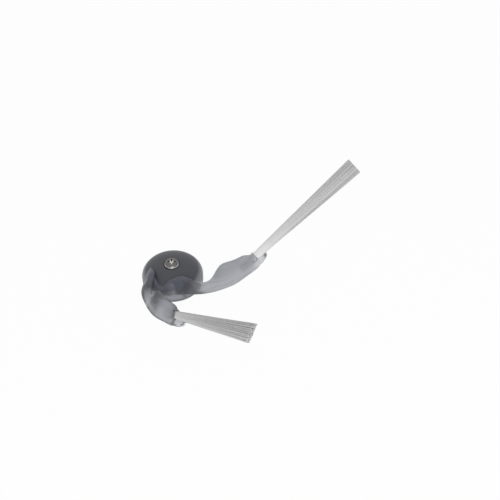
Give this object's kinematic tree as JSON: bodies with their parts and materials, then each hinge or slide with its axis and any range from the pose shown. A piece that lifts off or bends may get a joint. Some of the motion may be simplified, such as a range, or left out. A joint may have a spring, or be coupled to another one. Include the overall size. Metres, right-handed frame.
{
  "type": "robot vacuum side brush",
  "caption": "Robot vacuum side brush: one smoky moulding with a domed hub, a drive socket and two curved arms, a screw and two flat bristle tufts.",
  "frame": {"origin": "on the hub's axis at the mouth of the drive socket, in the plane of the hub's back face", "axes": "+Z along the hub's axis out of the dome, towards the floor in use; one arm points along +X and the other towards -Y"},
  "size_m": [0.0803, 0.0795, 0.0449],
  "materials": {
    "body_plastic": "smoky translucent grey, satin moulded",
    "screw_steel": "bright plated",
    "bristle_nylon": "pale grey filament"
  },
  "bodies": {
    "root": {"brush_body": "body_plastic", "hub_screw": "screw_steel", "right_tuft": "bristle_nylon", "front_tuft": "bristle_nylon"}
  },
  "joints": []
}
